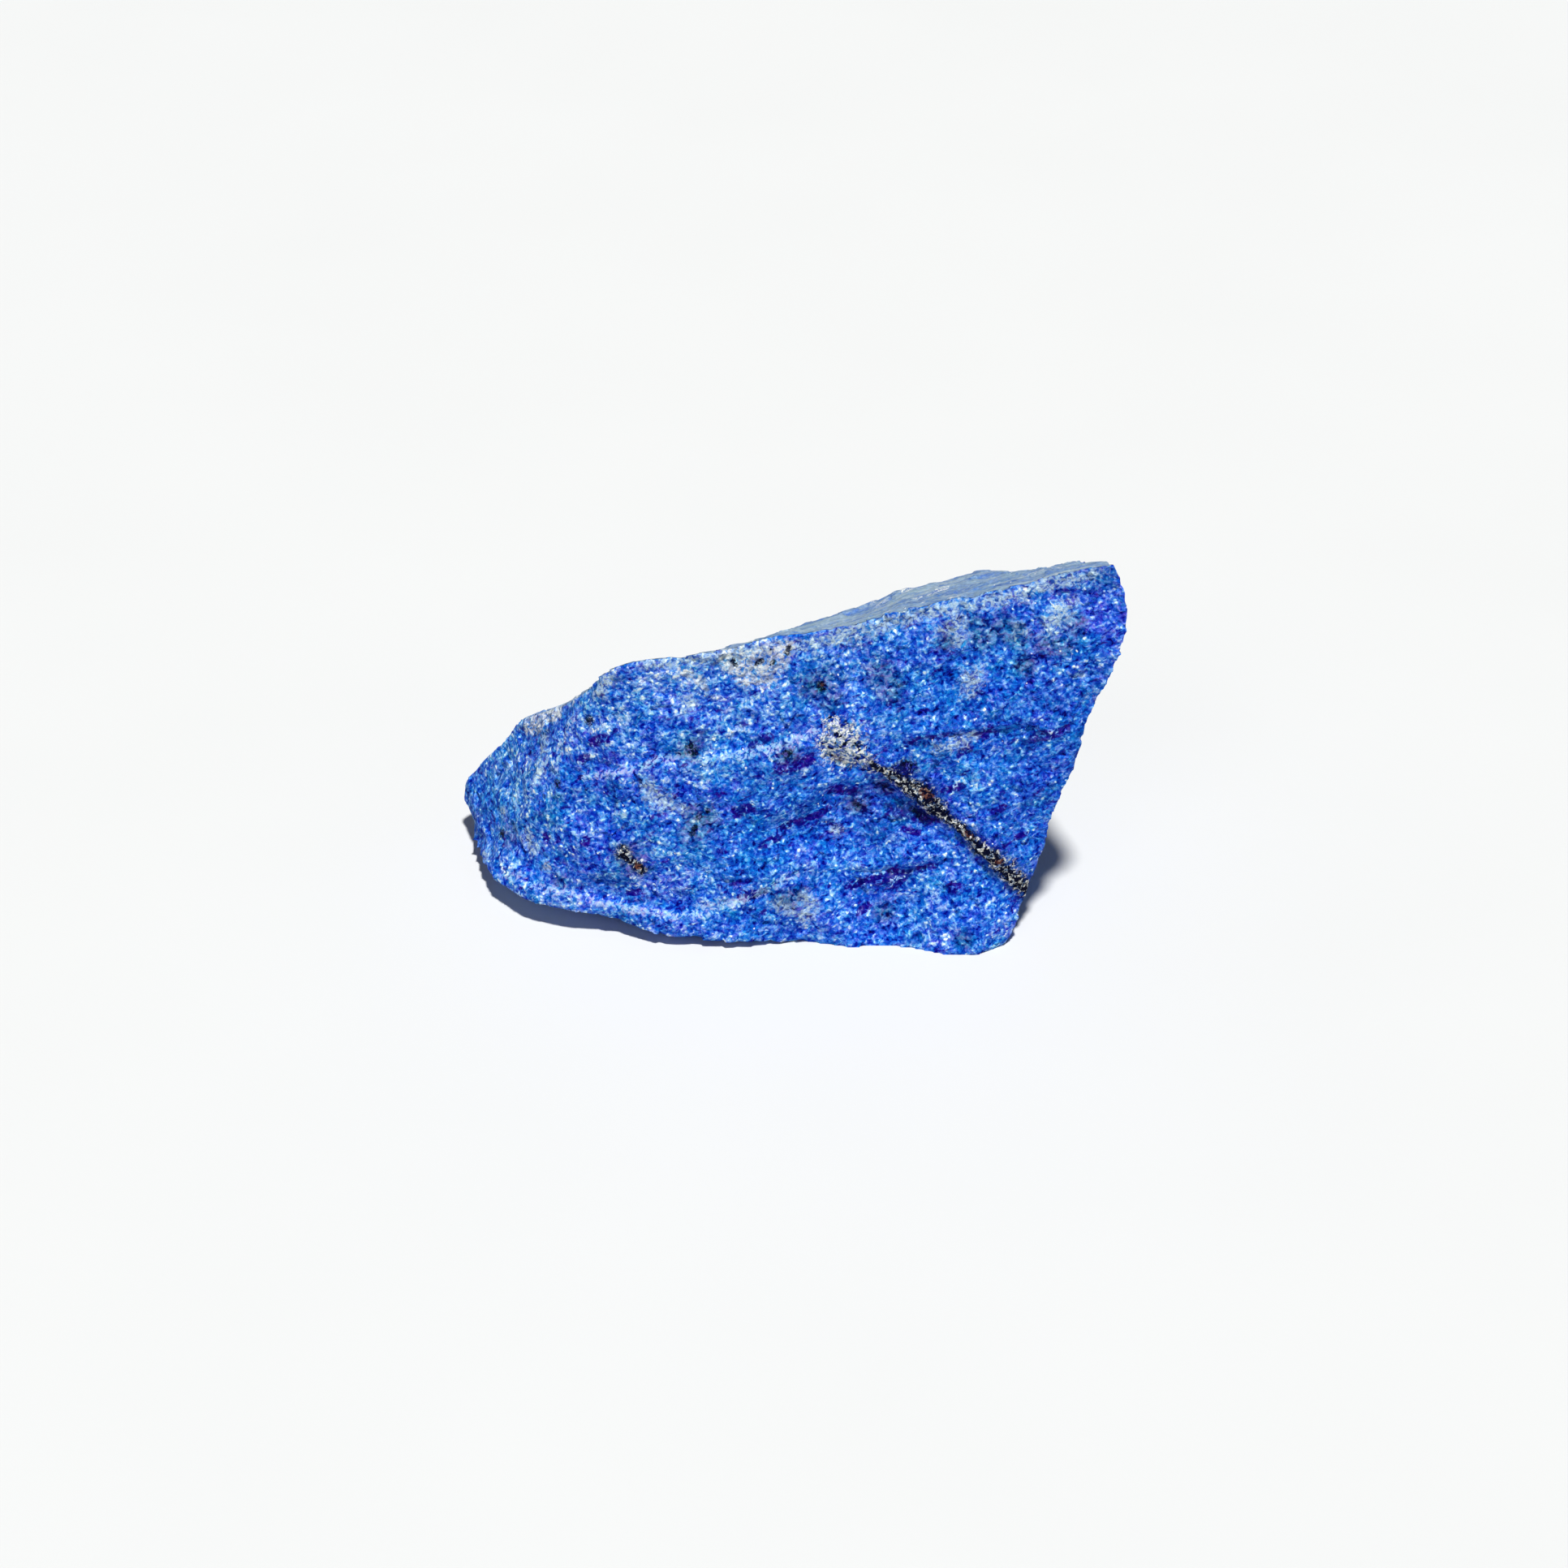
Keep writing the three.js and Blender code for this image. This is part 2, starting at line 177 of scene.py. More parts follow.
# where the minerals lie
frontMinerals = {
    # paths and spots on the front, as x, z and half width in mm
    "calcite": [
        [[3.0, 14.5, 0.7], [3.6, 13.9, 1.1], [3.9, 13.0, 1.35], [4.6, 12.3, 1.0], [5.3, 11.7, 0.6]],
        [[2.8, 13.4, 0.7], [3.1, 12.5, 0.8], [3.9, 12.0, 0.65]],
    ],
    "chalk": [
        [[-3.4, 18.6, 0.8], [-2.7, 18.1, 1.0], [-2.0, 18.4, 0.9], [-1.1, 18.5, 1.1], [-0.4, 18.9, 1.0],
         [0.1, 19.3, 0.6]],
        [[-2.4, 17.3, 0.6], [-1.0, 17.4, 0.7]],
        [[-6.5, 17.7, 0.3], [-5.8, 17.4, 0.35], [-5.2, 17.0, 0.35], [-4.8, 16.5, 0.2]],
        [[-16.6, 10.2, 0.6], [-15.8, 10.9, 0.8], [-15.1, 11.7, 0.8], [-14.4, 12.4, 0.7]],
        [[-15.2, 3.7, 0.32]],
    ],
    "palePatches": [
        [[10.1, 20.2, 0.7], [10.8, 20.9, 0.8], [10.7, 19.7, 0.6]],
        [[16.4, 20.9, 0.7], [17.0, 21.5, 0.8], [17.7, 22.1, 0.7]], [[11.8, 17.4, 0.8], [11.4, 16.6, 0.7]],
        [[-8.6, 10.3, 0.7], [-8.2, 9.7, 0.8], [-7.7, 9.5, 0.8], [-7.2, 9.0, 0.6]], [[-6.4, 8.9, 0.5]],
        [[3.4, 6.9, 0.5]], [[-5.9, 15.6, 0.6]], [[14.6, 20.4, 0.5]],
        [[1.3, 3.3, 0.6], [1.7, 2.6, 0.7], [1.1, 1.9, 0.6]], [[-0.4, 3.0, 0.6], [0.4, 2.6, 0.6]],
        [[9.6, 12.7, 0.5], [10.6, 13.2, 0.7], [11.7, 13.6, 0.5]],
        [[-15.3, 10.8, 0.6], [-15.5, 9.8, 0.7], [-15.7, 8.8, 0.6]],
        [[-11.6, 15.8, 0.5], [-11.2, 16.4, 0.6], [-10.9, 17.0, 0.5]],
        [[-16.5, 4.9, 0.6], [-16.1, 4.3, 0.5]], [[-18.2, 4.8, 0.5]], [[-19.4, 1.9, 0.6]],
        [[-8.9, 17.9, 0.4], [-5.8, 18.5, 0.5], [1.7, 19.4, 0.6], [4.3, 20.2, 0.7], [7.3, 21.0, 0.6],
         [10.3, 21.6, 0.5], [13.3, 22.1, 0.6], [16.3, 23.2, 0.5], [19.0, 24.0, 0.5]],
    ],
    "darkVein": [
        [[5.4, 11.9, 0.25], [6.1, 11.4, 0.32], [6.7, 11.1, 0.45], [7.4, 10.7, 0.55], [8.2, 10.2, 0.8],
         [9.0, 9.6, 0.85], [9.5, 9.0, 0.75], [10.3, 8.4, 0.42], [11.2, 7.8, 0.42], [11.9, 7.2, 0.58],
         [12.6, 6.6, 0.62], [13.3, 6.0, 0.64], [14.0, 5.2, 0.72], [14.7, 4.4, 0.68], [15.4, 3.6, 0.58]],
        [[-10.2, 6.1, 0.42], [-10.2, 5.7, 0.45], [-9.7, 5.2, 0.3], [-9.4, 5.0, 0.42], [-9.0, 4.7, 0.34]],
    ],
    # black specks, and painted shadow under the seam's step
    "darkSpecksAndShadows": [
        [[6.9, 11.4, 0.36], [7.5, 11.6, 0.5], [8.0, 11.6, 0.36]], [[6.4, 10.2, 0.22]], [[4.6, 8.6, 0.24]],
        [[8.2, 8.5, 0.26], [9.0, 8.2, 0.44], [9.8, 8.3, 0.26]], [[-3.2, 18.4, 0.14], [-3.0, 18.2, 0.15]],
        [[-1.7, 18.3, 0.14], [-1.4, 18.6, 0.17]], [[-0.8, 18.3, 0.12], [-0.6, 18.5, 0.14]],
        [[-2.3, 18.7, 0.11]], [[-0.8, 19.2, 0.12]], [[0.1, 18.9, 0.12], [0.3, 19.3, 0.18]],
        [[-18.3, 3.7, 0.3]], [[-12.3, 13.6, 0.3]], [[-14.4, 9.2, 0.28]],
        [[-5.9, 12.9, 0.28], [-5.7, 12.5, 0.32]], [[0.2, 13.0, 0.26]], [[-4.8, 8.9, 0.15]],
        [[-5.3, 8.5, 0.2]], [[-5.6, 7.8, 0.14], [-5.8, 7.4, 0.18]],
        [[2.4, 16.6, 0.26], [2.2, 17.0, 0.24]],
    ],
    "smoke": [
        [[6.5, 16.7, 0.8], [6.0, 17.5, 0.8]], [[12.1, 20.5, 0.6], [12.4, 19.8, 0.7]],
        [[16.2, 19.5, 0.6], [17.2, 19.4, 0.6]], [[18.1, 20.8, 0.6]], [[15.0, 18.2, 0.6]],
        [[10.0, 19.6, 0.5]], [[-5.8, 12.7, 0.8]], [[0.2, 13.0, 0.6]],
        [[-5.2, 8.5, 0.8], [-5.8, 7.4, 0.7]], [[2.3, 16.8, 0.9]], [[11.4, 1.0, 0.5]], [[-14.3, 3.0, 0.4]],
        [[6.4, 10.2, 0.6]], [[4.6, 8.6, 0.6]], [[2.9, 15.9, 0.6]], [[-9.6, 5.4, 0.9]],
        [[-17.7, 4.0, 0.6]], [[0.4, 3.3, 0.7]], [[13.6, 20.4, 0.7], [14.6, 19.9, 0.6]], [[6.4, 1.9, 0.6]],
    ],
    "rust": [
        [[-9.3, 5.0, 0.24]], [[8.7, 10.1, 0.26], [9.2, 9.8, 0.3]], [[11.7, 7.6, 0.28]],
        [[13.6, 5.8, 0.24]], [[2.3, 16.9, 0.2]], [[2.9, 12.3, 0.22], [3.6, 11.9, 0.18]],
    ],
    # violet-blue lenses, partly painted shade under the ledges
    "violet": [
        [[-0.3, 7.4, 0.26], [0.5, 7.7, 0.34], [1.3, 7.8, 0.32], [2.2, 8.1, 0.24], [2.8, 8.5, 0.2]],
        [[3.0, 9.9, 0.32], [4.3, 9.4, 0.4]],
        [[6.6, 8.4, 0.32], [7.4, 8.1, 0.5], [8.1, 8.2, 0.5], [9.1, 7.9, 0.4]],
        [[7.6, 7.2, 0.22], [8.5, 7.0, 0.22]], [[4.7, 1.9, 0.2], [5.4, 2.2, 0.24]],
        [[-9.9, 2.9, 0.24], [-9.2, 3.1, 0.2]],
        [[4.0, 3.5, 0.24], [4.7, 3.7, 0.34], [5.5, 3.9, 0.42], [6.3, 4.0, 0.50], [7.2, 4.1, 0.64],
         [7.9, 4.4, 0.34]],
        [[8.6, 4.7, 0.24], [9.6, 5.0, 0.2]],
        [[15.4, 13.6, 0.3], [16.1, 13.8, 0.42], [16.7, 14.1, 0.42], [17.6, 14.3, 0.32]],
        [[7.9, 13.2, 0.18], [8.7, 13.8, 0.2], [9.6, 13.6, 0.22]],
        [[11.0, 12.5, 0.26], [11.6, 12.9, 0.26]], [[12.2, 13.7, 0.22], [12.8, 14.0, 0.22]],
        [[10.1, 10.0, 0.3], [11.2, 10.6, 0.26]], [[13.1, 8.8, 0.22], [13.8, 9.2, 0.22]],
        [[14.8, 7.1, 0.26], [15.4, 7.3, 0.22]], [[-1.4, 6.7, 0.26], [-0.3, 7.0, 0.24]],
        [[-2.0, 13.2, 0.34], [-1.0, 13.7, 0.28]], [[-0.2, 12.0, 0.5], [1.5, 12.3, 0.45]],
        [[-12.0, 12.4, 0.3], [-11.3, 13.0, 0.34]], [[-13.0, 11.0, 0.24], [-12.3, 11.5, 0.24]],
        [[-3.0, 8.8, 0.4], [-2.1, 9.2, 0.4]], [[-8.7, 11.8, 0.22], [-8.1, 12.1, 0.2]],
        [[-2.6, 3.5, 0.32], [-1.3, 3.8, 0.28]], [[-12.6, 6.3, 0.4]], [[-15.2, 5.6, 0.4]],
    ],
    # painted highlight along the lips of the ledges
    "ledgeHighlights": [
        [[-12.8, 9.9, 0.2], [-11.6, 10.4, 0.22], [-10.3, 11.2, 0.24], [-9.0, 11.6, 0.26],
         [-7.8, 12.0, 0.24], [-6.4, 12.3, 0.22], [-4.9, 12.2, 0.2], [-2.8, 12.6, 0.26],
         [-0.8, 13.2, 0.3], [0.7, 13.6, 0.28], [1.9, 14.2, 0.24]],
        [[-5.5, 2.5, 0.2], [-3.4, 3.0, 0.26], [-1.8, 3.6, 0.28], [-0.5, 4.3, 0.26], [0.8, 4.8, 0.2]],
        [[-18.1, 2.3, 0.2], [-15.9, 2.5, 0.24], [-13.8, 2.7, 0.24], [-11.4, 2.3, 0.26],
         [-9.1, 2.2, 0.26], [-7.0, 2.2, 0.26], [-4.9, 2.1, 0.2]],
        [[-11.0, 17.0, 0.2], [-11.8, 15.7, 0.24], [-12.7, 14.0, 0.24], [-13.7, 12.8, 0.24],
         [-14.2, 11.3, 0.24], [-14.5, 9.9, 0.2]],
    ],
    "glints": [
        [[12.5, 15.5, 0.15]], [[9.3, 13.4, 0.13]], [[-2.4, 11.9, 0.14]], [[-4.7, 11.4, 0.11]],
        [[5.6, 11.5, 0.11]], [[-11.4, 15.5, 0.12]], [[11.9, 14.8, 0.12]], [[11.8, 7.4, 0.11]],
        [[12.6, 1.7, 0.10]], [[-9.0, 5.4, 0.16]], [[14.9, 22.8, 0.16]],
    ],
}

backMinerals = {
    # the seam runs through the stone and comes out again at the back
    "calcite": [
        [[-7.0, 9.5, 0.8], [-5.2, 10.4, 1.0], [-3.9, 10.6, 0.6]], [[11.0, 15.5, 0.7], [12.6, 16.1, 0.9]],
    ],
    "palePatches": [
        [[1.0, 6.0, 1.2], [3.2, 6.4, 1.0]], [[-12.0, 5.0, 1.0]], [[9.0, 11.0, 1.1]],
    ],
    "darkVein": [
        [[5.4, 11.2, 0.3], [7.2, 9.4, 0.55], [9.6, 7.0, 0.7], [11.8, 4.4, 0.6], [13.4, 2.0, 0.5]],
        [[-2.0, 5.2, 0.4]], [[14.8, 18.4, 0.35], [15.4, 19.0, 0.3]],
    ],
    "rust": [
        [[7.6, 9.0, 0.35], [8.6, 8.0, 0.35]], [[12.2, 3.9, 0.3]],
    ],
    "violet": [
        [[-1.0, 8.6, 0.5], [1.6, 9.4, 0.6]], [[3.2, 3.0, 0.6], [5.0, 3.6, 0.5]],
        [[-9.4, 6.6, 0.5], [-8.0, 7.0, 0.5]], [[13.0, 12.6, 0.5], [15.0, 13.4, 0.5]],
    ],
}

rightMinerals = {
    # on the right-hand end, as y, z and half width in mm
    "darkVein": [
        [[-6.0, 3.4, 0.65], [-4.8, 2.0, 0.55], [-3.9, 0.6, 0.45]],
    ],
    "rust": [
        [[-5.0, 2.2, 0.3]],
    ],
    "violet": [
        [[-2.0, 12.0, 0.6], [0.0, 12.6, 0.5]], [[-1.4, 6.4, 0.5]],
    ],
    "palePatches": [
        [[-2.6, 16.0, 0.9], [-1.4, 17.2, 0.8]], [[0.6, 8.6, 0.9]],
    ],
}

lightAndToneZones = [
    # x, z, reach in mm and how much lighter or darker the blue is there, partly painted light and shade of
    # facets and ledges
    [-4.5, 16.6, 4.4, 0.20], [-17.6, 8.2, 3.2, 0.18], [-5.0, 1.5, 2.0, 0.02], [2.4, 8.2, 3.0, -0.08],
    [9.0, 9.2, 2.6, -0.04], [7.0, 3.8, 2.2, -0.03], [10.0, 4.9, 1.8, -0.06], [19.0, 20.6, 2.0, -0.13],
    [13.5, 17.6, 2.0, -0.03], [9.9, 15.5, 2.2, -0.11], [-15.5, 6.0, 2.2, -0.03], [5.0, 1.6, 5.0, -0.02],
    [-17.0, 1.3, 1.4, 0.16], [-14.0, 1.4, 1.4, 0.16], [-11.0, 1.2, 1.4, 0.16], [-8.2, 1.2, 1.3, 0.12],
    [-7.9, 17.5, 1.8, 0.07], [3.5, 18.9, 2.4, 0.13], [9.0, 20.3, 2.4, 0.08], [16.5, 22.6, 2.4, 0.09],
    [-11.5, 13.3, 1.8, 0.07], [-8.5, 5.8, 2.6, 0.07], [-2.3, 12.6, 1.8, -0.07], [-14.2, 9.0, 1.6, -0.05],
]

hueZones = [
    # x, z, reach in mm and how far the blue leans there: above nought violet, below nought green
    [-11.6, 11.9, 1.8, 0.14], [-13.8, 4.5, 1.8, 0.10], [-17.0, 3.3, 1.4, 0.08], [-5.9, 13.9, 2.2, 0.10],
    [6.4, 3.0, 1.6, 0.08], [20.2, 21.8, 1.8, 0.18], [3.0, 9.9, 1.8, 0.10], [-8.0, 4.0, 2.2, 0.12],
    [6.8, 13.2, 1.6, 0.10], [13.0, 7.8, 2.0, 0.14], [16.9, 15.8, 2.2, 0.10], [-0.5, 3.4, 2.0, -0.10],
    [9.6, 16.5, 3.0, -0.12], [14.5, 11.5, 2.2, -0.12], [-4.1, 7.0, 2.6, -0.14], [7.0, 1.1, 2.4, -0.10],
    [-19.0, 6.2, 3.0, -0.18], [9.9, 12.6, 1.6, -0.14], [-11.4, 10.2, 1.4, -0.10],
]

steps = [
    # small ledges on the front: path as x, z, then height and reach in mm; below nought it is turned upwards
    {"path": [[-12.8, 9.9], [-10.3, 11.2], [-7.8, 12.0], [-4.9, 12.2], [-0.8, 13.2], [1.9, 14.2]],
     "height": -0.10, "reach": 0.9},
    {"path": [[-4.4, 2.3], [-1.8, 3.3], [-0.3, 4.2], [1.6, 4.7]], "height": -0.12, "reach": 0.9},
    {"path": [[3.6, 4.6], [6.0, 4.6], [9.6, 5.2]], "height": 0.16, "reach": 0.9},
    {"path": [[7.4, 13.2], [9.4, 13.7], [12.7, 14.2], [16.9, 15.0]], "height": 0.14, "reach": 0.9},
    {"path": [[-18.1, 2.3], [-15.9, 2.5], [-13.8, 2.7], [-11.4, 2.3], [-7.0, 2.2], [-4.9, 2.1]],
     "height": -0.20, "reach": 0.9},
    {"path": [[-11.0, 17.0], [-11.8, 15.7], [-12.7, 14.0], [-13.7, 12.8], [-14.5, 9.9]],
     "height": 0.10, "reach": 0.8},
    {"path": [[12.4, 14.6], [13.9, 15.8], [14.9, 16.9]], "height": 0.10, "reach": 0.7},
    {"path": [[9.6, 8.6], [12.6, 6.0], [15.0, 3.4]], "height": 0.12, "reach": 0.8},
]
stepShape = {
    "edge": 0.12,       # mm over which a ledge rises
    "endShare": 0.15,   # share of its height at the ends of its path
    "endRise": 4,       # how fast the share then grows
    "facing": 0.2,      # a ledge is kept off surfaces that face further back than this
}
lookFrom = 0.05         # m from the middle, clear of the stone
lookPast = 0.002        # m behind the middle, where the nearest surface is taken if a look misses the stone


def surfaceFinder(body, towards):
    # finds the point of the surface that a straight look from one side meets
    tree = BVHTree.FromObject(body, bpy.context.evaluated_depsgraph_get())
    ahead = Vector(towards)
    across = 0 if towards[0] == 0 else 1

    def find(a, z):
        start = -lookFrom * ahead
        start[across] = a / 1000
        start[2] = z / 1000
        hit = tree.ray_cast(start, ahead)[0]
        if hit is None:
            hit = tree.find_nearest(start + (lookFrom + lookPast) * ahead)[0]
        return np.array(hit) * 1000

    return find


def nearestOnPath(points, spots):
    # for each point its distance from the path, its foot on it, the way the path runs there,
    # and the share of the path that lies before the foot
    best = np.full(len(points), 1e9)
    foot = np.zeros_like(points)
    heading = np.zeros_like(points)
    share = np.zeros(len(points))
    for i, (start, end) in enumerate(zip(spots, spots[1:])):
        along = end - start
        where = np.clip(((points - start) @ along) / max(along @ along, 1e-9), 0, 1)
        spot = start + where[:, None] * along
        away = np.linalg.norm(points - spot, axis=1)
        nearer = away < best
        best[nearer] = away[nearer]
        foot[nearer] = spot[nearer]
        heading[nearer] = along / max(np.linalg.norm(along), 1e-9)
        share[nearer] = (i + where[nearer]) / (len(spots) - 1)
    return best, foot, heading, share


def pressSteps(body):
    points, normals = readPoints(body), readNormals(body)
    find = surfaceFinder(body, (0, 1, 0))
    lift = np.zeros(len(points))
    for step in steps:
        spots = [find(x, z) for x, z in step["path"]]
        away, foot, heading, share = nearestOnPath(points, spots)
        side = ((points - foot) * np.cross(normals, heading)).sum(1)
        ends = np.clip(stepShape["endShare"] + stepShape["endRise"] * np.minimum(share, 1 - share), 0, 1)
        rise = step["height"] * np.tanh(side / stepShape["edge"]) * np.exp(-(away / step["reach"]) ** 2)
        lift += rise * ends * (normals[:, 1] < stepShape["facing"])
    writePoints(body, points + normals * (lift * workedShare(points))[:, None])
    print("steps pressed")


fieldLook = {
    "unmarked": -4.0,           # a mineral's field far from its paths
    "proudPasses": 14,          # how often the surface is evened before a point can stand proud of it
    "proudHeight": 0.12,        # mm
    "crownPasses": 8,
    "crownUp": (0.5, 0.7),      # the crown faces up and to the back
    "crownBack": (-0.02, 0.10),
    "crownHeight": (9, 12),     # mm
    "frontPasses": 40,
    "frontFacing": (-0.25, 0.25),
}
fieldNames = [*frontMinerals, "proud", "crown", "zone", "hue", "hidden"]


def spread(values, edges, passes):
    # evens values out along the edges of the mesh
    values = values.copy()
    count = np.bincount(edges.ravel(), minlength=len(values)).astype(float)
    for step in range(passes):
        total = np.bincount(edges[:, 0], values[edges[:, 1]], len(values))
        total += np.bincount(edges[:, 1], values[edges[:, 0]], len(values))
        values = 0.5 * values + 0.5 * total / count
    return values


def spreadVectors(vectors, edges, passes):
    return np.stack([spread(vectors[:, k], edges, passes) for k in range(3)], 1)


def spreadNormals(normals, edges, passes):
    even = spreadVectors(normals, edges, passes)
    return even / np.linalg.norm(even, axis=1)[:, None]


def fadeIn(values, limits):
    low, high = limits
    return np.clip((values - low) / (high - low), 0, 1)


def closeness(points, path, find):
    # one on the path, nought at its half width, and lower further out
    spots = [find(x, z) for x, z, width in path]
    widths = [width for x, z, width in path]
    if len(spots) == 1:
        spots, widths = spots * 2, widths * 2
    away, foot, heading, share = nearestOnPath(points, spots)
    width = np.interp(share, np.linspace(0, 1, len(widths)), widths)
    return 1 - away / width


def zoneSum(points, zones):
    total = np.zeros(len(points))
    for x, z, reach, amount in zones:
        total += amount * np.exp(-((points[:, 0] - x) ** 2 + (points[:, 2] - z) ** 2) / reach ** 2)
    return total


def addField(body, name, values):
    field = body.data.attributes.new(name, "FLOAT", "POINT")
    field.data.foreach_set("value", values.astype(np.float32))


def markMinerals(body):
    points, normals, edges = readPoints(body), readNormals(body), readEdges(body)
    sides = [
        (frontMinerals, surfaceFinder(body, (0, 1, 0))),
        (backMinerals, surfaceFinder(body, (0, -1, 0))),
        (rightMinerals, surfaceFinder(body, (-1, 0, 0))),
    ]
    fields = {name: np.full(len(points), fieldLook["unmarked"]) for name in frontMinerals}
    for minerals, find in sides:
        for name, paths in minerals.items():
            for path in paths:
                fields[name] = np.maximum(fields[name], closeness(points, path, find))
    for name, field in fields.items():
        addField(body, name, field)

    # how far each point stands above its surroundings
    soft = spreadVectors(points, edges, fieldLook["proudPasses"])
    proud = ((points - soft) * normals).sum(1)
    addField(body, "proud", np.clip(proud / fieldLook["proudHeight"], -1, 1))

    # the sloping top, high up and turned to the back
    near = spreadNormals(normals, edges, fieldLook["crownPasses"])
    crown = fadeIn(near[:, 2], fieldLook["crownUp"]) * fadeIn(near[:, 1], fieldLook["crownBack"])
    addField(body, "crown", crown * fadeIn(points[:, 2], fieldLook["crownHeight"]))

    # broad differences of the front, partly painted light and shade, and the sides hidden from it
    broad = spreadNormals(normals, edges, fieldLook["frontPasses"])
    front = fadeIn(-broad[:, 1], fieldLook["frontFacing"])
    addField(body, "zone", zoneSum(points, lightAndToneZones) * front)
    addField(body, "hue", zoneSum(points, hueZones) * front)
    addField(body, "hidden", 1 - front)
    print("minerals marked")


stoneBody = makeStone()
markMinerals(stoneBody)


# finishes
colours = {
    "night": (0.002, 0.006, 0.19),
    "deep": (0.003, 0.034, 0.38),
    "ultramarine": (0.007, 0.076, 0.56),
    "royal": (0.017, 0.126, 0.67),
    "mid": (0.055, 0.205, 0.74),
    "sky": (0.145, 0.345, 0.80),
    "haze": (0.30, 0.50, 0.88),
    "frost": (0.60, 0.75, 0.95),
    # the colour of the painted highlight on the ledge lips
    "lipHighlightBlue": (0.34, 0.52, 0.86),
    "violet": (0.014, 0.002, 0.26),
    "teal": (0.004, 0.090, 0.30),
    "bottle": (0.002, 0.030, 0.080),
    "khaki": (0.22, 0.31, 0.40),
    "bloom": (0.42, 0.56, 0.66),
    "cream": (0.86, 0.89, 0.86),
    "slate": (0.13, 0.20, 0.32),
    "grey": (0.30, 0.38, 0.46),
    # painted light of the top: paler, streaky grey-blues
    "litTopBlue": (0.135, 0.235, 0.43),
    "litTopPale": (0.34, 0.45, 0.53),
    "soot": (0.001, 0.002, 0.016),
    "rust": (0.13, 0.042, 0.026),
    "tan": (0.52, 0.51, 0.46),
    "glint": (0.93, 0.96, 1.0),
}


class Wiring:
    def __init__(self, tree):
        self.tree = tree

    def plug(self, value, socket):
        if isinstance(value, bpy.types.NodeSocket):
            self.tree.links.new(value, socket)
        elif socket.type == "RGBA":
            socket.default_value = (*value, 1.0)
        else:
            socket.default_value = value

    def add(self, kind, inputs=None, **values):
        node = self.tree.nodes.new(kind)
        for key, value in values.items():
            setattr(node, key, value)
        for key, value in (inputs or {}).items():
            self.plug(value, node.inputs[key])
        return node

    def noise(self, where, perMm, detail, rough, twist=0.0):
        node = self.add("ShaderNodeTexNoise", {"Vector": where, "Scale": perMm, "Detail": detail,
                                               "Roughness": rough, "Distortion": twist})
        return node.outputs["Fac"]

    def cells(self, where, perMm):
        # how far each place is from the middle of its crystal, and three shades that each crystal keeps
        node = self.add("ShaderNodeTexVoronoi", {"Vector": where, "Scale": perMm})
        shades = self.add("ShaderNodeSeparateColor", {"Color": node.outputs["Color"]})
        return node.outputs["Distance"], list(shades.outputs)

    def math(self, what, a, b):
        return self.add("ShaderNodeMath", {0: a, 1: b}, operation=what).outputs[0]

    def times(self, a, b):
        return self.math("MULTIPLY", a, b)

    def most(self, a, b):
        return self.math("MAXIMUM", a, b)

    def total(self, first, *others):
        for value in others:
            first = self.math("ADD", first, value)
        return first

    def swing(self, value, gain):
        # a pattern that swings about nought
        return self.times(self.math("SUBTRACT", value, 0.5), gain)

    def vector(self, what, a, b):
        return self.add("ShaderNodeVectorMath", {0: a, 1: b}, operation=what).outputs[0]

    def ramp(self, value, low, high, outLow=0.0, outHigh=1.0):
        inputs = {"Value": value, "From Min": low, "From Max": high, "To Min": outLow, "To Max": outHigh}
        return self.add("ShaderNodeMapRange", inputs, interpolation_type="SMOOTHSTEP").outputs["Result"]

    def mix(self, share, a, b):
        # sockets 6, 7 and 2 are the ones for colours
        return self.add("ShaderNodeMix", {0: share, 6: a, 7: b}, data_type="RGBA").outputs[2]

    def field(self, name):
        return self.add("ShaderNodeAttribute", attribute_name=name).outputs["Fac"]


def newMaterial(name):
    material = bpy.data.materials.new(name)
    material.use_nodes = True
    material.node_tree.nodes.clear()
    net = Wiring(material.node_tree)
    shader = net.add("ShaderNodeBsdfPrincipled")
    net.add("ShaderNodeOutputMaterial", {"Surface": shader.outputs[0]})
    return material, net, shader


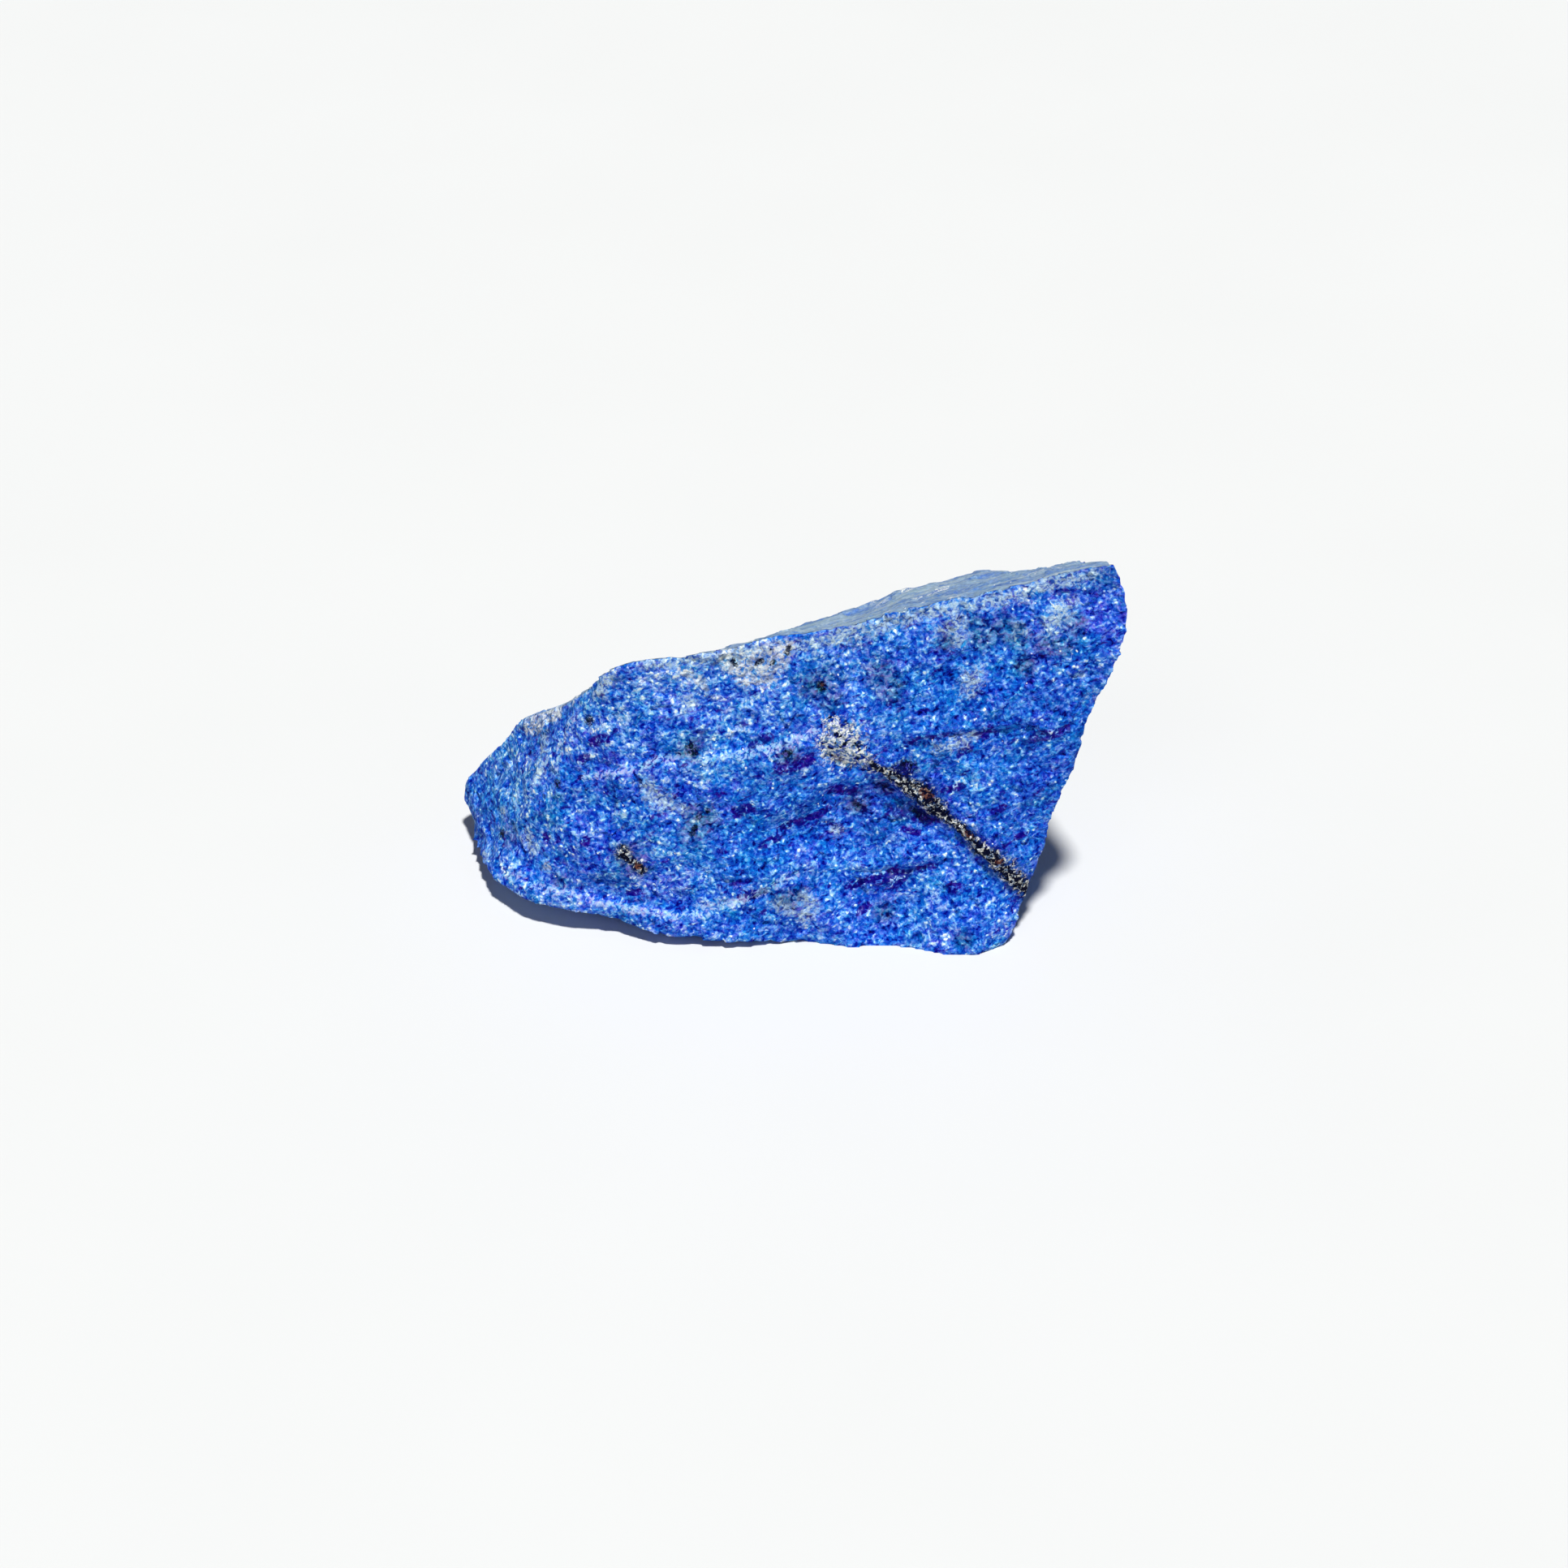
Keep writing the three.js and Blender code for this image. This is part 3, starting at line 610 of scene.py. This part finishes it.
grainLook = {
    "crystalsPerMm": 3.0, "sparksPerMm": 6.0, "flecksPerMm": 4.2,
    "fabricAngle": 25, "fabricSize": (2.4, 1.4, 1.0),     # degrees up from the length; mm along, in and up
    "fleckSize": (1.2, 1.4, 1.0),
    "streakAngle": 14, "streakSize": (7.0, 1.0, 1.0),
    "wobblesPerMm": 2.2, "wobble": 0.35,                  # mm

    # how much each pattern lightens the blue, swinging about nought or only one way
    "toneSwings": {"clouds": 1.0, "patches": 0.85, "fizz": 0.6, "curls": 1.2, "fineCurls": 1.2,
                   "strokes": 0.75, "crystalShade": 0.30, "sparkShade": 0.26},
    # proud darkens hollows and lightens raised points, painted shade and light; crown is painted light on the
    # top; zone is partly painted light and shade
    "toneShares": {"flecks": 1.0, "proud": 0.10, "zone": 1.6, "crown": 0.35, "smokeShare": -0.22},
    "toneRange": (-0.74, 0.94),
    "blues": {"night": 0.0, "deep": 0.03, "ultramarine": 0.14, "royal": 0.37, "mid": 0.60, "sky": 0.79,
              "haze": 0.92, "frost": 1.0},

    # the edge of the violet lenses, which are partly painted shade, the curls in the painted light on the
    # top, and how far pale and smoky places cover
    "violetRagged": -2.0, "violetEdge": (-0.30, 0.20),
    "litTopCurls": 0.4,
    "bloomCover": 0.72, "chalkCover": 0.66, "smokeCover": 0.42,

    # fine glitter, and how much of it goes into blue
    "glitterSwings": {"fineCurls": 0.34, "curls": 0.22, "sparkShade": 0.11, "crystalShade": 0.06},
    "glitterFlecks": 0.18, "glitterInBlue": 0.8,

    # how far the hue leans to violet or green-blue, and what that adds to red, green and blue
    "leanSwings": {"drift": 0.9, "fineDrift": 0.8, "crystalHue": 0.14}, "leanGrains": 2.0,
    "leanRed": 0.20, "leanGreen": -0.14, "leanBlue": 0.06, "leanGrainsBlue": -0.14,
    "leanOnPlain": (0.0, 0.7, 1.0, 0.15), "leanOnLight": (0.1, 0.8, 1.0, 0.45),
    "eyePower": 2.2, "eyeRange": (0.03, 0.99),            # between light and steps that look even

    "heights": {"fizz": 1.0, "curls": 0.7, "fineCurls": 0.35, "crystalShade": 0.12},
    "bumpDepth": 0.16,                                    # mm
    "glintSmooth": 0.3,                                   # a glint is smoother by this much
    "refraction": 1.5, "shine": 0.04,
}

patterns = {
    # the space it lies in, how many to a mm, detail, roughness and twist
    "clouds": ("mm", 0.16, 3.0, 0.6, 0.5),
    "patches": ("fabric", 0.8, 3.0, 0.65, 0.6),
    "fizz": ("mm", 1.5, 2.0, 0.7, 0.4),
    "curls": ("bentLay", 2.4, 1.0, 0.6, 0.5),
    "fineCurls": ("bentLay", 4.4, 1.0, 0.6, 0.5),
    "strokes": ("fabric", 2.2, 1.0, 0.5, 0.6),
    "crumbs": ("bent", 4.0, 2.0, 0.7, 0.3),
    "tatters": ("mm", 1.5, 3.0, 0.7, 0.4),
    "greenness": ("fabric", 0.42, 2.0, 0.6, 0.9),
    "lace": ("streaks", 1.1, 4.0, 0.7, 0.5),
    "drift": ("mm", 0.36, 2.0, 0.6, 0.6),
    "fineDrift": ("bentLay", 1.3, 2.0, 0.7, 0.5),
    "pockets": ("mm", 0.33, 2.0, 0.6, 0.4),
    "split": ("bent", 3.4, 2.0, 0.75, 0.4),
}

fades = {
    # a pattern, where the fade begins and ends in it, and its first and last share if not nought and one
    "fleckFew": ("fleckShade", 0.58, 0.92, -0.10, 0.52),
    "fleckRim": ("fleckAway", 0.60, 0.22),
    "smokeShare": ("smoke", -1.0, 0.4),
    "violetStrokes": ("strokes", 0.35, 0.30, 0.0, 0.85),
    "violetGrains": ("fineCurls", 0.65, 0.54, 0.16, 0.93),
    "teal": ("greenness", 0.54, 0.68, 0.0, 0.35),
    "ledgeHighlightGrains": ("fineCurls", 0.40, 0.54, 0.1, 0.8),
    "bloomGrains": ("fineCurls", 0.40, 0.56, 0.25, 1.0),
    "litTopStreaks": ("lace", 0.34, 0.66),
    "litTopCover": ("litTopLace", 0.34, 0.50, 0.70, 0.95),
    "chalkGrains": ("crumbs", 0.38, 0.50, 0.2, 1.0),
    "chalkShade": ("curls", 0.40, 0.56),
    "smokeShade": ("curls", 0.42, 0.60),
    "darkGrains": ("crumbs", 0.60, 0.50, 0.35, 0.96),
    "crownGlitter": ("crown", 0.0, 1.0, 1.0, 0.35),
    "pocketPlaces": ("pockets", 0.62, 0.70),
    "pocketGrains": ("crumbs", 0.42, 0.55),
    "calciteGrains": ("fineCurls", 0.38, 0.50, 0.35, 1.0),
    "calciteShade": ("crumbs", 0.43, 0.55),
    "specks": ("curls", 0.45, 0.38),
    "crownSpecks": ("crown", 0.0, 0.6, 1.0, 0.2),
    "besideSeam": ("darkVein", -1.3, 0.2, 0.0, 0.70),
    "besideGrains": ("crumbs", 0.60, 0.45),
    "tanGrains": ("crumbs", 0.44, 0.54),
    "creamGrains": ("fineCurls", 0.54, 0.64),
    "rustGrains": ("fineCurls", 0.60, 0.50, 0.25, 0.95),
    "seamPale": ("split", 0.50, 0.59),
    "loneRust": ("split", 0.46, 0.54, 0.0, 0.6),
    "glintPlaces": ("glints", 0.0, 0.3),
    "looseFew": ("sparkPick", 0.996, 0.998),
    "looseRim": ("sparkAway", 0.5, 0.25),
    "crownCalm": ("crown", 0.0, 1.0, 1.0, 0.3),
    "roughness": ("crystalRough", 0.0, 1.0, 0.45, 0.75),
}

spotEdges = {
    # where a spot begins, how ragged and how crumbly its edge is, and how softly it fades in
    "ledgeHighlights": (-0.5, 2.4, 2.4, 0.9),
    "palePatches": (-0.3, 1.6, 1.4, 1.1),
    "chalk": (-0.3, 1.5, 0.9, 0.9),
    "darkSpecksAndShadows": (-0.5, 1.8, 3.2, 0.6),
    "calcite": (-0.25, 1.3, 2.4, 0.8),
    "darkVein": (-0.25, 1.6, 1.6, 0.8),
    "rust": (-0.3, 0.0, 1.6, 0.5),
}


def turned(net, place, angle, size):
    # a space turned about the depth, with its own mm along, in and up
    scale = tuple(0.001 * length for length in size)
    return net.add("ShaderNodeMapping",
                   {"Vector": place, "Rotation": (0, -math.radians(angle), 0), "Scale": scale},
                   vector_type="TEXTURE").outputs[0]


def grainSpaces(net):
    place = net.add("ShaderNodeTexCoord").outputs["Object"]
    mm = net.add("ShaderNodeMapping", {"Vector": place, "Scale": (1000, 1000, 1000)}).outputs[0]
    lay = turned(net, place, grainLook["fabricAngle"], grainLook["fleckSize"])

    # a slight wobble makes crystals and edges ragged
    wobble = net.add("ShaderNodeTexNoise", {"Vector": mm, "Scale": grainLook["wobblesPerMm"], "Detail": 2.0})
    shift = net.vector("SUBTRACT", wobble.outputs["Color"], (0.5, 0.5, 0.5))
    shift = net.vector("MULTIPLY", shift, (grainLook["wobble"],) * 3)
    return {
        "mm": mm,
        "fabric": turned(net, place, grainLook["fabricAngle"], grainLook["fabricSize"]),
        "streaks": turned(net, place, grainLook["streakAngle"], grainLook["streakSize"]),
        "bent": net.vector("ADD", mm, shift),
        "bentLay": net.vector("ADD", lay, shift),
    }


def grainPatterns(net):
    spaces = grainSpaces(net)
    grain = {name: net.noise(spaces[space], *values) for name, (space, *values) in patterns.items()}
    grain.update({name: net.field(name) for name in fieldNames})
    crystalShades = net.cells(spaces["bent"], grainLook["crystalsPerMm"])[1]
    grain["crystalShade"], grain["crystalRough"], grain["crystalHue"] = crystalShades
    grain["sparkAway"], sparkShades = net.cells(spaces["bent"], grainLook["sparksPerMm"])
    grain["sparkShade"], grain["sparkPick"] = sparkShades[:2]
    grain["fleckAway"], fleckShades = net.cells(spaces["bentLay"], grainLook["flecksPerMm"])
    grain["fleckShade"] = fleckShades[0]
    grain["flecks"] = net.times(fade(net, grain, "fleckFew"), fade(net, grain, "fleckRim"))
    grain["ragged"] = net.swing(grain["tatters"], 1.0)
    grain["crumbly"] = net.swing(grain["crumbs"], 1.0)
    grain["smokeShare"] = fade(net, grain, "smokeShare")
    grain["litTopLace"] = net.total(grain["lace"], net.swing(grain["curls"], grainLook["litTopCurls"]))
    return grain


def fade(net, grain, name):
    pattern, *values = fades[name]
    return net.ramp(grain[pattern], *values)


def spotShare(net, grain, name):
    edge, ragGain, crumbGain, softness = spotEdges[name]
    ragged, crumbly = net.times(grain["ragged"], ragGain), net.times(grain["crumbly"], crumbGain)
    return net.ramp(net.total(grain[name], ragged, crumbly), edge, edge + softness)


def swings(net, grain, what):
    return net.total(*[net.swing(grain[name], gain) for name, gain in grainLook[what].items()])


def shares(net, grain, what):
    return net.total(*[net.times(grain[name], gain) for name, gain in grainLook[what].items()])


def blueGrains(net, tone):
    blues = net.add("ShaderNodeValToRGB", {"Fac": net.ramp(tone, *grainLook["toneRange"])})
    stops = blues.color_ramp.elements
    stops.remove(stops[-1])             # the stop at nought is left
    for name, position in grainLook["blues"].items():
        stop = stops.new(position) if position > 0 else stops[0]
        stop.color = (*colours[name], 1)
    return blues.outputs["Color"]


def addClots(net, grain, colour):
    # violet-blue lenses, partly painted shade under the ledges, and broad green-blue places
    violet = net.total(grain["violet"], net.swing(grain["strokes"], grainLook["violetRagged"]))
    violet = net.most(net.ramp(violet, *grainLook["violetEdge"]), fade(net, grain, "violetStrokes"))
    violet = net.times(violet, fade(net, grain, "violetGrains"))
    colour = net.mix(violet, colour, colours["violet"])
    return net.mix(fade(net, grain, "teal"), colour, colours["teal"])


def addPalePlaces(net, grain, colour):
    # painted highlight: thin pale lines where the lips of the ledges catch the light
    ledgeHighlights = net.times(spotShare(net, grain, "ledgeHighlights"), fade(net, grain, "ledgeHighlightGrains"))
    colour = net.mix(ledgeHighlights, colour, colours["lipHighlightBlue"])

    # pale bloom
    bloom = net.times(spotShare(net, grain, "palePatches"), fade(net, grain, "bloomGrains"))
    colour = net.mix(net.times(bloom, grainLook["bloomCover"]), colour, colours["bloom"])

    # painted light: the top that faces up and back is made paler and streaky
    litTop = net.mix(fade(net, grain, "litTopStreaks"), colours["litTopBlue"], colours["litTopPale"])
    colour = net.mix(net.times(grain["crown"], fade(net, grain, "litTopCover")), colour, litTop)

    # faint chalky patches
    chalk = net.times(spotShare(net, grain, "chalk"), fade(net, grain, "chalkGrains"))
    chalkColour = net.mix(fade(net, grain, "chalkShade"), colours["grey"], colours["cream"])
    colour = net.mix(net.times(chalk, grainLook["chalkCover"]), colour, chalkColour)
    return colour, net.most(net.most(chalk, bloom), grain["crown"])


def addSmoke(net, grain, colour):
    # smoky grey-green places, and black grains, some of which are painted shadow under the seam's step
    smoke = net.mix(fade(net, grain, "smokeShade"), colours["bottle"], colours["khaki"])
    colour = net.mix(net.times(grain["smokeShare"], grainLook["smokeCover"]), colour, smoke)
    dark = net.times(spotShare(net, grain, "darkSpecksAndShadows"), fade(net, grain, "darkGrains"))
    return net.mix(dark, colour, colours["soot"])


def addGlitter(net, grain, colour, tone, plain):
    # fine glitter lightens or darkens the grains and leaves the hue alone
    flecks = net.times(grain["flecks"], grainLook["glitterFlecks"])
    bright = net.total(swings(net, grain, "glitterSwings"), flecks)
    bright = net.times(bright, fade(net, grain, "crownGlitter"))

    # the hue leans over broad places and from grain to grain, less on pale minerals and light grains
    grainHue = net.swing(grain["crumbs"], grainLook["leanGrains"])
    hue = net.total(swings(net, grain, "leanSwings"), grain["hue"], grainHue)
    hue = net.times(hue, net.ramp(plain, *grainLook["leanOnPlain"]))
    hue = net.times(hue, net.ramp(tone, *grainLook["leanOnLight"]))
    moreRed = net.total(bright, net.times(hue, grainLook["leanRed"]))
    moreGreen = net.total(bright, net.times(hue, grainLook["leanGreen"]))
    moreBlue = net.times(bright, grainLook["glitterInBlue"])
    moreBlue = net.total(moreBlue, net.times(hue, grainLook["leanBlue"]))
    moreBlue = net.total(moreBlue, net.times(grainHue, grainLook["leanGrainsBlue"]))
    nudge = net.add("ShaderNodeCombineXYZ", {0: moreRed, 1: moreGreen, 2: moreBlue}).outputs[0]

    # both are added in steps that the eye sees as even
    power = grainLook["eyePower"]
    darkest, lightest = grainLook["eyeRange"]
    even = net.add("ShaderNodeGamma", {"Color": colour, "Gamma": 1 / power}).outputs[0]
    even = net.vector("ADD", even, nudge)
    even = net.vector("MAXIMUM", even, (darkest,) * 3)
    even = net.vector("MINIMUM", even, (lightest,) * 3)
    return net.add("ShaderNodeGamma", {"Color": even, "Gamma": power}).outputs[0]


def addCalcite(net, grain, colour):
    # white grains mottled with blue-grey and black specks, in the patch and in pockets of the hidden sides
    pockets = net.times(grain["hidden"], fade(net, grain, "pocketPlaces"))
    pockets = net.times(pockets, fade(net, grain, "pocketGrains"))
    calcite = net.most(spotShare(net, grain, "calcite"), pockets)
    calcite = net.times(calcite, fade(net, grain, "calciteGrains"))
    white = net.mix(fade(net, grain, "calciteShade"), colours["slate"], colours["cream"])
    specks = net.times(fade(net, grain, "specks"), fade(net, grain, "crownSpecks"))
    return net.mix(calcite, colour, net.mix(specks, white, colours["soot"]))


def addSeam(net, grain, colour):
    # the dark seam with pale and rusty grains; a dark edge beside it fades into the blue and is partly
    # painted shadow of its step
    beside = net.times(fade(net, grain, "besideSeam"), fade(net, grain, "besideGrains"))
    colour = net.mix(beside, colour, colours["night"])
    rust = spotShare(net, grain, "rust")
    pale = net.mix(fade(net, grain, "tanGrains"), colours["slate"], colours["tan"])
    pale = net.mix(fade(net, grain, "creamGrains"), pale, colours["cream"])
    pale = net.mix(net.times(rust, fade(net, grain, "rustGrains")), pale, colours["rust"])
    seamGrains = net.mix(fade(net, grain, "seamPale"), colours["soot"], pale)
    colour = net.mix(spotShare(net, grain, "darkVein"), colour, seamGrains)
    return net.mix(net.times(rust, fade(net, grain, "loneRust")), colour, colours["rust"])


def lapisMaterial():
    material, net, shader = newMaterial("lapisLazuli")
    grain = grainPatterns(net)
    tone = net.total(swings(net, grain, "toneSwings"), shares(net, grain, "toneShares"))
    colour = addClots(net, grain, blueGrains(net, tone))
    colour, plain = addPalePlaces(net, grain, colour)
    colour = addSmoke(net, grain, colour)
    colour = addGlitter(net, grain, colour, tone, plain)
    colour = addCalcite(net, grain, colour)
    colour = addSeam(net, grain, colour)

    # painted glints: white spots where single crystals catch the light
    loose = net.times(fade(net, grain, "looseFew"), fade(net, grain, "looseRim"))
    glint = net.most(fade(net, grain, "glintPlaces"), loose)
    net.plug(net.mix(glint, colour, colours["glint"]), shader.inputs["Base Color"])

    rough = net.math("SUBTRACT", fade(net, grain, "roughness"), net.times(glint, grainLook["glintSmooth"]))
    net.plug(rough, shader.inputs["Roughness"])
    height = net.times(shares(net, grain, "heights"), fade(net, grain, "crownCalm"))
    depth = grainLook["bumpDepth"] / 1000
    bump = net.add("ShaderNodeBump", {"Height": height, "Distance": depth, "Strength": 1.0})
    net.plug(bump.outputs[0], shader.inputs["Normal"])
    net.plug(grainLook["refraction"], shader.inputs["IOR"])
    net.plug(grainLook["shine"], shader.inputs["Specular IOR Level"])
    return material


stoneBody.data.materials.append(lapisMaterial())
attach(stoneBody, "root")
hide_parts("lapis_stone")
print("stone finished")


# table, light and camera, in metres
studio = {
    "tableSize": 6.0,
    "tableColour": (0.75, 0.755, 0.745), "tableRoughness": 0.9,
    "mottlesPerMetre": 40.0, "mottle": 0.97,                # the darker places have this share of the colour
    "keyStrength": 3.82, "keySoftness": 5.0,                # W/m2 and degrees
    "keyPlace": (0.10, -0.19, 0.9), "keyAim": (0, 0, 0),
    "fillPlace": (-0.30, -0.75, 0.65), "fillAim": (0, 0, 0.01), "fillSize": 0.6, "fillPower": 0.65,     # W
    "sky": (0.82, 0.91, 1.0), "skyStrength": 0.07,
    "backdrop": (0.93, 0.94, 0.95),
    "cameraPlace": (0.0, -0.19852, 0.14624), "cameraAim": (0.0, -0.00193, 0.00858),
    "lens": 86.31, "sensor": 36,                            # mm
    "nearest": 0.01,
}


def makeTable():
    bpy.ops.object.select_all(action="DESELECT")
    bpy.ops.mesh.primitive_plane_add(size=studio["tableSize"], location=(0, 0, 0))
    table = bpy.context.object
    table.name = "paleTable"
    material, net, shader = newMaterial("paleTable")
    place = net.add("ShaderNodeTexCoord").outputs["Object"]
    darker = tuple(studio["mottle"] * c for c in studio["tableColour"])
    colour = net.mix(net.noise(place, studio["mottlesPerMetre"], 2.0, 0.5), studio["tableColour"], darker)
    net.plug(colour, shader.inputs["Base Color"])
    shader.inputs["Roughness"].default_value = studio["tableRoughness"]
    table.data.materials.append(material)


def placeItem(name, data, place, target):
    # adds a lamp or camera that looks at the target
    item = bpy.data.objects.new(name, data)
    bpy.context.scene.collection.objects.link(item)
    item.location = place
    direction = Vector(target) - item.location
    item.rotation_euler = direction.to_track_quat("-Z", "Y").to_euler()
    return item


def makeLights():
    sun = bpy.data.lights.new("keyLight", "SUN")
    sun.energy = studio["keyStrength"]
    sun.angle = math.radians(studio["keySoftness"])
    placeItem("keyLight", sun, studio["keyPlace"], studio["keyAim"])
    fill = bpy.data.lights.new("fillLight", "AREA")
    fill.shape = "DISK"
    fill.size = studio["fillSize"]
    fill.energy = studio["fillPower"]
    placeItem("fillLight", fill, studio["fillPlace"], studio["fillAim"])


def makeSky():
    # a weak blue light from all round, behind it a plain pale backdrop that only the camera sees
    world = bpy.data.worlds.new("paleSky")
    world.use_nodes = True
    net = Wiring(world.node_tree)
    sky = world.node_tree.nodes["Background"]
    net.plug(studio["sky"], sky.inputs["Color"])
    net.plug(studio["skyStrength"], sky.inputs["Strength"])
    backdrop = net.add("ShaderNodeBackground", {"Color": studio["backdrop"]})
    seen = net.add("ShaderNodeLightPath").outputs["Is Camera Ray"]
    both = net.add("ShaderNodeMixShader", {0: seen, 1: sky.outputs[0], 2: backdrop.outputs[0]})
    net.plug(both.outputs[0], world.node_tree.nodes["World Output"].inputs["Surface"])
    bpy.context.scene.world = world


def makeCamera():
    camera = bpy.data.cameras.new("mainCamera")
    camera.lens = studio["lens"]
    camera.sensor_width = studio["sensor"]
    camera.clip_start = studio["nearest"]
    bpy.context.scene.camera = placeItem("mainCamera", camera, studio["cameraPlace"], studio["cameraAim"])
    bpy.context.scene.view_settings.view_transform = "Standard"


makeTable()
makeLights()
makeSky()
makeCamera()
print("studio ready")
